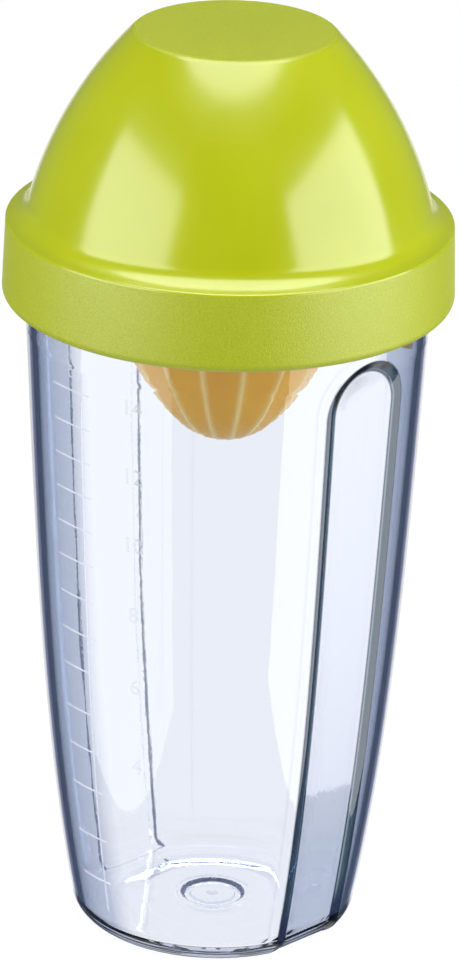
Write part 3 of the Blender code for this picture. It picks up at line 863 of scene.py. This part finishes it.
class Graph:
    """Short way to write a node tree."""

    def __init__(self, tree):
        self.tree = tree
        tree.nodes.clear()

    def node(self, kind, inputs=None, **settings):
        """Add a shader node; an input is a number, a tuple or another node's output."""
        made = self.tree.nodes.new("ShaderNode" + kind)
        for key, value in settings.items():
            setattr(made, key, value)
        for key, value in (inputs or {}).items():
            if isinstance(value, bpy.types.NodeSocket):
                self.tree.links.new(value, made.inputs[key])
            else:
                made.inputs[key].default_value = value
        return made

    def out(self, kind, inputs=None, **settings):
        """First output of a new node."""
        return self.node(kind, inputs, **settings).outputs[0]

    def math(self, operation, *values):
        """Output of a Math node."""
        return self.out("Math", dict(enumerate(values)), operation=operation)

    def along(self, vector, axis):
        """How far a vector runs along a fixed axis."""
        made = self.node("VectorMath", {0: vector, 1: tuple(axis)}, operation="DOT_PRODUCT")
        return made.outputs["Value"]

    def from_axis(self, axes):
        """Distance from the Z axis of a place given by its X, Y and Z."""
        squares = [self.math("POWER", axes[index], 2.0) for index in (0, 1)]
        return self.math("SQRT", self.math("ADD", *squares))

    def bump(self, height, strength, distance):
        """Normal of a fine relief."""
        inputs = {"Strength": strength, "Distance": distance, "Height": height}
        return self.out("Bump", inputs)

    def where(self):
        """Place on the piece."""
        return self.node("TexCoord").outputs["Object"]

    def clear(self, *colour):
        """Shader that lets rays pass straight, tinted by an 8-bit colour."""
        return self.out("BsdfTransparent", {0: (*srgb(*colour), 1)})

    def mix_shaders(self, factor, first, second):
        """Mix of two shaders."""
        return self.out("MixShader", {0: factor, 1: first, 2: second})

    def trapped(self):
        """1 for a ray that is caught in the clear wall, 0 for any other."""
        depth = self.node("LightPath").outputs["Ray Depth"]
        return self.math("GREATER_THAN", depth, TRAPPED_DEPTH)

    def ease(self, value, low, high, first=0.0, last=1.0, kind="SMOOTHSTEP"):
        """Value mapped from a range to another, clamped at its ends."""
        inputs = {0: value, 1: low, 2: high, 3: first, 4: last}
        return self.out("MapRange", inputs, interpolation_type=kind)

    def ramp(self, value, stops):
        """Colour of a ramp with (place, colour) stops."""
        ramp = self.node("ValToRGB", {0: value})
        marks = ramp.color_ramp.elements
        while len(marks) < len(stops):
            marks.new(0.5)
        for mark, (where, colour) in zip(marks, stops):
            mark.position = where
            mark.color = (*colour, 1)
        return ramp.outputs[0]

    def mix(self, factor, first, second, blend="MIX"):
        """Mix of two colours."""
        inputs = {0: factor}
        for key, colour in ((6, first), (7, second)):
            inputs[key] = colour if isinstance(colour, bpy.types.NodeSocket) else (*colour, 1)
        return self.node("Mix", inputs, data_type="RGBA", blend_type=blend).outputs[2]

    def noise(self, vector, scale, detail=2.0, roughness=0.5):
        """Noise value round 0.5."""
        inputs = {"Vector": vector, "Scale": scale, "Detail": detail, "Roughness": roughness}
        return self.out("TexNoise", inputs)


def srgb(red, green, blue):
    """Linear colour of an 8-bit colour."""
    return tuple(
        value / 255 / 12.92 if value <= 10 else ((value / 255 + 0.055) / 1.055) ** 2.4
        for value in (red, green, blue)
    )


def new_material(name):
    """Empty node material."""
    material = bpy.data.materials.new(name)
    material.use_nodes = True
    return material, Graph(material.node_tree)


def through(red, green, blue):
    """Tint that makes white look as this 8-bit colour through one surface, which takes its square root."""
    return tuple(value ** 2 for value in srgb(red, green, blue))


def facing_shade(graph):
    """Painted shade of the clear wall: darker and bluer where its surface turns away from the view, and
    pale again right at the outline.
    """
    facing = graph.node("LayerWeight", {"Blend": 0.5}).outputs["Facing"]
    return graph.ramp(facing, (
        (0.0, through(252, 253, 255)),
        (0.34, through(251, 252, 255)),
        (0.44, through(200, 207, 222)),
        (0.58, through(176, 186, 205)),
        (0.66, through(150, 160, 182)),
        (0.70, through(66, 78, 102)),
        (0.775, through(54, 64, 90)),
        (0.82, through(140, 148, 176)),
        (0.88, through(206, 210, 234)),
        (1.0, through(224, 226, 244)),
    ))


def clear_plastic():
    """Polished clear plastic, faintly blue, with painted shade towards its outline, along the grips'
    bevels and lips and round the floor's gate.
    """
    material, graph = new_material("clear_plastic")
    where = graph.where()
    axes = graph.node("SeparateXYZ", {0: where}).outputs
    height = axes[2]
    # Painted shade towards the outline, by how the surface faces; only the camera's own hits get it.
    outline_shade = facing_shade(graph)
    place_on_bevel = graph.node("Attribute", attribute_name="grip_edge").outputs["Fac"]
    bevel = graph.math("DIVIDE", graph.math("ADD", place_on_bevel, 1.0), 3.0)
    # Painted shade in bands across each grip's bevel, with a paler strip between them.
    bevel_shade = graph.ramp(bevel, (
        (0.26, (1, 1, 1)),
        (0.295, through(62, 76, 94)),
        (0.34, through(84, 102, 116)),
        (0.37, through(156, 170, 180)),
        (0.41, through(80, 98, 110)),
        (0.60, through(64, 82, 94)),
        (0.665, through(52, 66, 86)),
        (0.72, (1, 1, 1)),
    ))
    # Painted shade: towards the foot the bevel bands turn dark navy.
    foot = graph.ease(height, 8 * MM, 15 * MM, 1.0, 0.0)
    past_floor = graph.ease(bevel, 0.28, 0.32)
    before_side = graph.ease(bevel, 0.66, 0.71, 1.0, 0.0)
    on_bevel = graph.math("MULTIPLY", past_floor, before_side)
    bevel_shade = graph.mix(graph.math("MULTIPLY", foot, on_bevel), bevel_shade, through(48, 60, 88))
    # Painted thin dark line along each grip's lip, for rays past the first hit.
    lip_shade = graph.ramp(bevel, (
        (0.58, (1, 1, 1)),
        (0.63, through(88, 102, 132)),
        (0.72, through(88, 102, 132)),
        (0.78, (1, 1, 1)),
    ))
    # Painted dark ring on the slope of the floor's gate groove, for rays past the first hit.
    radius = graph.from_axis(axes)
    past_groove = graph.ease(radius, GATE_RADIUS - 0.9 * MM, GATE_RADIUS - 0.6 * MM)
    before_edge = graph.ease(radius, GATE_RADIUS, GATE_RADIUS + 0.2 * MM, 1.0, 0.0)
    in_ring = graph.math("MULTIPLY", past_groove, before_edge)
    on_floor = graph.ease(height, 0.5 * CUP_FLOOR_TOP, 0.6 * CUP_FLOOR_TOP)
    gate_shade = graph.math("MULTIPLY", in_ring, on_floor)
    # The painted outline shade turns pale blue at the bottom corner.
    corner = graph.ease(height, 0.6 * CUP_CORNER_RADIUS, 1.2 * CUP_CORNER_RADIUS, 0.8, 0.0)
    outline_shade = graph.mix(corner, outline_shade, through(214, 220, 234))
    paths = graph.node("LightPath").outputs
    # The camera's own hits get the painted outline and bevel shade; later rays get the painted lip line
    # and gate ring.
    seen = graph.mix(1.0, outline_shade, bevel_shade, "MULTIPLY")
    lip_shade = graph.mix(gate_shade, lip_shade, through(84, 98, 130))
    plain = graph.mix(1.0, through(252, 253, 255), lip_shade, "MULTIPLY")
    tint = graph.mix(paths["Is Camera Ray"], plain, seen)
    streaks = graph.out("Mapping", {0: where, 3: (220, 220, 6)})
    ripple = graph.noise(streaks, 1.0, 3.0)
    grain = graph.noise(where, 900, 2.0)
    relief = graph.math("ADD", ripple, graph.math("MULTIPLY", grain, 0.1))
    shader = graph.out("BsdfPrincipled", {
        "Base Color": tint,
        "Roughness": graph.ease(grain, 0.3, 0.7, 0.0, 0.035),
        "IOR": 1.57,
        "Transmission Weight": 1.0,
        "Normal": graph.bump(relief, 0.08, 0.0003),
    })
    lighting = graph.math("MAXIMUM", paths["Is Shadow Ray"], paths["Is Diffuse Ray"])
    straight = graph.math("MAXIMUM", lighting, graph.trapped())
    surface = graph.mix_shaders(straight, shader, graph.clear(246, 247, 252))
    volume = graph.out("VolumeAbsorption", {0: (*srgb(150, 170, 215), 1), 1: 12.0})
    graph.node("OutputMaterial", {"Surface": surface, "Volume": volume})
    return material


def frosted_marks():
    """The scale's raised marks: the cup's plastic with a finely ground face, and for the camera part of
    the clear wall's painted outline shade.
    """
    material, graph = new_material("scale_plastic")
    where = graph.where()
    grain = graph.noise(where, 2500, 2.0)
    paths = graph.node("LightPath").outputs
    ground = graph.ramp(grain, ((0.3, srgb(240, 243, 250)), (0.7, srgb(254, 254, 255))))
    # The camera sees the ground face with the wall's painted outline shade at 60 per cent.
    seen = graph.mix(1.0, graph.mix(0.6, (1, 1, 1), facing_shade(graph)), ground, "MULTIPLY")
    shader = graph.out("BsdfPrincipled", {
        "Base Color": graph.mix(paths["Is Camera Ray"], (1, 1, 1), seen),
        "Roughness": graph.ease(grain, 0.3, 0.7, 0.04, 0.1),
        "IOR": 1.1,
        "Transmission Weight": 1.0,
        "Normal": graph.bump(grain, 0.2, 0.0002),
    })
    surface = graph.mix_shaders(paths["Is Shadow Ray"], shader, graph.clear(240, 242, 248))
    graph.node("OutputMaterial", {"Surface": surface})
    return material


def past_trapped(graph, shader):
    """Shader that lets rays caught in the clear wall pass, so that they end in the room."""
    return graph.mix_shaders(graph.trapped(), shader, graph.clear(230, 235, 246))


def green_plastic():
    """Glossy dome and flange, with a fine spark-eroded texture on the skirt and the top disc."""
    material, graph = new_material("green_plastic")
    where = graph.where()
    axes = graph.node("SeparateXYZ", {0: where}).outputs
    skirt_top = LID_FLANGE_TOP - 0.4 * MM
    below = graph.ease(axes[2], skirt_top - 0.1 * MM, skirt_top + 0.1 * MM, 1.0, 0.0)
    outside = graph.ease(graph.from_axis(axes), SHOULDER_RADIUS - 0.6 * MM, SHOULDER_RADIUS - 0.3 * MM)
    top_level = LID_TOP - 0.25 * MM
    on_top = graph.ease(axes[2], top_level - 0.15 * MM, top_level + 0.15 * MM)
    matt = graph.math("MAXIMUM", graph.math("MULTIPLY", below, outside), on_top)
    sparks = graph.noise(where, 3200, 3.0, 0.65)
    cloud = graph.noise(where, 45, 2.0)
    base = graph.ramp(cloud, ((0.3, srgb(172, 182, 10)), (0.7, srgb(177, 187, 14))))
    matt_base = graph.ramp(sparks, ((0.3, srgb(158, 170, 4)), (0.7, srgb(182, 193, 12))))
    colour = graph.mix(matt, base, matt_base)
    gloss_roughness = graph.ease(cloud, 0.3, 0.7, 0.14, 0.19)
    matt_roughness = graph.ease(sparks, 0.3, 0.7, 0.36, 0.46)
    rough = graph.out("Mix", {0: matt, 2: gloss_roughness, 3: matt_roughness})
    ring_pitch = 0.42 * MM
    rings = graph.math("SINE", graph.math("MULTIPLY", axes[2], math.tau / ring_pitch))
    rings = graph.math("MULTIPLY", rings, graph.ease(axes[2], LID_TOP - 16 * MM, LID_TOP - 5 * MM))
    relief = graph.math("ADD", graph.math("MULTIPLY", sparks, matt), graph.math("MULTIPLY", rings, 0.03))
    shader = graph.out("BsdfPrincipled", {
        "Base Color": colour,
        "Roughness": rough,
        "IOR": 1.5,
        "Normal": graph.bump(relief, 0.5, 0.00012),
    })
    graph.node("OutputMaterial", {"Surface": past_trapped(graph, shader)})
    return material


def amber_plastic():
    """Translucent satin amber, with a painted highlight along the reamer's ribs."""
    material, graph = new_material("amber_plastic")
    where = graph.where()
    cloud = graph.noise(where, 120, 2.0)
    grain = graph.noise(where, 1300, 2.0)
    rib = graph.node("Attribute", attribute_name="rib").outputs["Fac"]
    body = graph.ramp(cloud, ((0.3, srgb(238, 172, 10)), (0.7, srgb(244, 182, 18))))
    # Painted highlight: the colour turns pale along the reamer's ribs.
    colour = graph.mix(rib, body, srgb(252, 218, 130))
    shader = graph.out("BsdfPrincipled", {
        "Base Color": colour,
        "Roughness": graph.ease(grain, 0.3, 0.7, 0.2, 0.3),
        "IOR": 1.5,
        "Specular IOR Level": 0.08,
        "Subsurface Weight": 0.35,
        "Subsurface Radius": (0.004, 0.002, 0.0006),
        "Subsurface Scale": 1.0,
        "Normal": graph.bump(grain, 0.15, 0.0001),
    })
    graph.node("OutputMaterial", {"Surface": past_trapped(graph, shader)})
    return material


def silicone():
    """Soft milky silicone, matt."""
    material, graph = new_material("silicone")
    where = graph.where()
    cloud = graph.noise(where, 200, 3.0)
    grain = graph.noise(where, 2200, 2.0)
    shader = graph.out("BsdfPrincipled", {
        "Base Color": graph.ramp(cloud, ((0.3, srgb(222, 222, 214)), (0.7, srgb(232, 232, 226)))),
        "Roughness": graph.ease(grain, 0.3, 0.7, 0.5, 0.62),
        "IOR": 1.42,
        "Subsurface Weight": 0.2,
        "Subsurface Radius": (0.002, 0.002, 0.0018),
        "Subsurface Scale": 1.0,
        "Normal": graph.bump(grain, 0.2, 0.0001),
    })
    graph.node("OutputMaterial", {"Surface": past_trapped(graph, shader)})
    return material


def make_floor():
    """Plain white floor that keeps a faint shadow."""
    material, graph = new_material("floor_white")
    paths = graph.node("LightPath").outputs
    diffuse = graph.out("BsdfDiffuse", {0: (FLOOR_GREY, FLOOR_GREY, FLOOR_GREY, 1)})
    seen = graph.math("MULTIPLY", paths["Is Camera Ray"], FLOOR_GLOW)
    strength = graph.math("ADD", seen, graph.math("MULTIPLY", graph.trapped(), FLOOR_TRAPPED_GLOW))
    glow = graph.out("Emission", {0: (1, 1, 1, 1), 1: strength})
    surface = graph.out("AddShader", {0: diffuse, 1: glow})
    graph.node("OutputMaterial", {"Surface": surface})
    bpy.ops.mesh.primitive_plane_add(size=FLOOR_SIZE, location=(0, 0, -FLOOR_DROP))
    floor = bpy.context.object
    floor.name = "floor"
    floor.data.materials.append(material)
    floor.visible_diffuse = False
    floor.visible_glossy = False
    floor.visible_transmission = False
    floor.visible_shadow = False


def make_world():
    """White world for what the camera sees; reflections see a dark room with a white sheet at the back."""
    world = bpy.data.worlds.new("studio")
    world.use_nodes = True
    bpy.context.scene.world = world
    graph = Graph(world.node_tree)
    direction = graph.node("TexCoord").outputs["Generated"]
    rise = graph.node("SeparateXYZ", {0: direction}).outputs[2]
    to_front = camera_frame()[0]
    to_sheet = -to_front * math.cos(CAMERA_PITCH) - Vector((0, 0, math.sin(CAMERA_PITCH)))
    front = graph.ease(graph.along(direction, to_front), -0.2, 0.35)
    above = graph.ease(rise, -0.05, 0.15)
    room = graph.ease(front, 0.0, 1.0, SIDE_REFLECTION, FRONT_REFLECTION, "LINEAR")
    sheet = graph.ease(graph.along(direction, to_sheet), BACKDROP_FROM, BACKDROP_TO)
    table = graph.ease(rise, TABLE_FROM, TABLE_TO, 1.0, 0.0)
    overhead = graph.ease(rise, CEILING_FROM, CEILING_TO, 0.0, TOP_REFLECTION)
    white = graph.math("MAXIMUM", sheet, table)
    dark = graph.math("MULTIPLY", front, above)
    behind = graph.ease(dark, 0.0, 1.0, 1.0, FRONT_THROUGH, "LINEAR")
    paths = graph.node("LightPath").outputs
    passing = graph.math("MAXIMUM", paths["Is Transmission Ray"], graph.trapped())
    room = graph.math("MAXIMUM", room, graph.math("MULTIPLY", passing, FRONT_THROUGH))
    mirrored = graph.math("ADD", graph.math("MAXIMUM", room, white), overhead)
    deep = graph.math("GREATER_THAN", paths["Ray Depth"], DEEP_DEPTH)
    past = graph.math("MULTIPLY", passing, deep)
    seen = graph.math("MAXIMUM", paths["Is Glossy Ray"], paths["Is Transmission Ray"])
    reflected = graph.out("Mix", {0: past, 2: mirrored, 3: behind})
    lit = graph.ease(rise, -0.1, 0.1, GROUND_LIGHT, AMBIENT)
    plain = graph.math("MAXIMUM", paths["Is Camera Ray"], lit)
    strength = graph.out("Mix", {0: seen, 2: plain, 3: reflected})
    bright = graph.math("MAXIMUM", graph.math("SUBTRACT", 1.0, seen), graph.ease(reflected, 0.15, 0.7))
    colour = graph.mix(bright, ROOM_COLOUR, (1, 1, 1))
    background = graph.out("Background", {0: colour, 1: strength})
    graph.node("OutputWorld", {"Surface": background})


def camera_frame():
    """Unit vectors of the photograph's view: to the camera, and to its right."""
    to_camera = Vector((math.sin(CAMERA_AZIMUTH), -math.cos(CAMERA_AZIMUTH), 0))
    to_right = Vector((math.cos(CAMERA_AZIMUTH), math.sin(CAMERA_AZIMUTH), 0))
    return to_camera, to_right


def softbox(name, azimuth, elevation, width, height, radiance, mirrored=True, shape="RECTANGLE"):
    """Area lamp at an azimuth to the right of the camera and an elevation, with its size as angles.

    All are in degrees. A mirrored lamp shows only in reflections, the others only light the matt colours.
    """
    to_camera, to_right = camera_frame()
    turn, rise = math.radians(azimuth), math.radians(elevation)
    level = to_camera * math.cos(turn) + to_right * math.sin(turn)
    direction = level * math.cos(rise) + Vector((0, 0, math.sin(rise)))
    lamp = bpy.data.lights.new(name, "AREA")
    lamp.shape = shape
    lamp.size = 2 * LAMP_DISTANCE * math.tan(math.radians(width / 2))
    lamp.size_y = 2 * LAMP_DISTANCE * math.tan(math.radians(height / 2))
    lamp.energy = radiance * math.pi * lamp.size * lamp.size_y
    light = linked(name, lamp)
    light.location = Vector((0, 0, LAMP_AIM_HEIGHT)) + direction * LAMP_DISTANCE
    light.rotation_euler = direction.to_track_quat("Z", "Y").to_euler()
    light.visible_camera = False
    light.visible_transmission = False
    light.visible_diffuse = not mirrored
    light.visible_glossy = mirrored


def make_camera():
    """Camera at the photograph's place and angle."""
    to_camera = camera_frame()[0]
    data = bpy.data.cameras.new("camera")
    data.sensor_width = SENSOR
    data.sensor_height = SENSOR
    data.lens = FOCAL_PIXELS / PHOTO_HEIGHT * SENSOR
    data.shift_x = (PHOTO_WIDTH / 2 - CENTRE_PIXEL_X) / PHOTO_HEIGHT
    data.shift_y = (CENTRE_PIXEL_Y - PHOTO_HEIGHT / 2) / PHOTO_HEIGHT
    data.clip_start = 0.01
    data.clip_end = 50
    camera = linked("camera", data)
    place_at = to_camera * CAMERA_DISTANCE + Vector((0, 0, CAMERA_RISE))
    tilt = Matrix.Rotation(math.pi / 2 - CAMERA_PITCH, 4, "X")
    turn = Matrix.Rotation(CAMERA_AZIMUTH, 4, "Z")
    roll = Matrix.Rotation(CAMERA_ROLL, 4, "Z")
    camera.matrix_world = Matrix.Translation(place_at) @ turn @ tilt @ roll
    bpy.context.scene.camera = camera


make_camera()
clear = clear_plastic()
marks = frosted_marks()
make_cup(clear)
make_scale(marks)
make_numbers(marks)
make_insert(amber_plastic())
make_seal(silicone())
make_lid(green_plastic())
make_floor()
make_world()
softbox("left_softbox", -61, 15, 54, 34, 6.0)
softbox("left_low_softbox", -61, -21, 54, 38, 1.6)
softbox("right_softbox", 69, 15, 62, 34, 6.0)
softbox("right_low_softbox", 69, -21, 62, 38, 2.6)
softbox("top_softbox", 0, 88, 64, 60, 5.2, shape="ELLIPSE")
softbox("left_fill", -66, 10, 54, 60, 2.4, mirrored=False)
softbox("right_fill", 72, 10, 62, 60, 2.7, mirrored=False)
softbox("top_fill", 0, 80, 60, 60, 1.4, mirrored=False)
bpy.context.scene.view_settings.view_transform = "Standard"
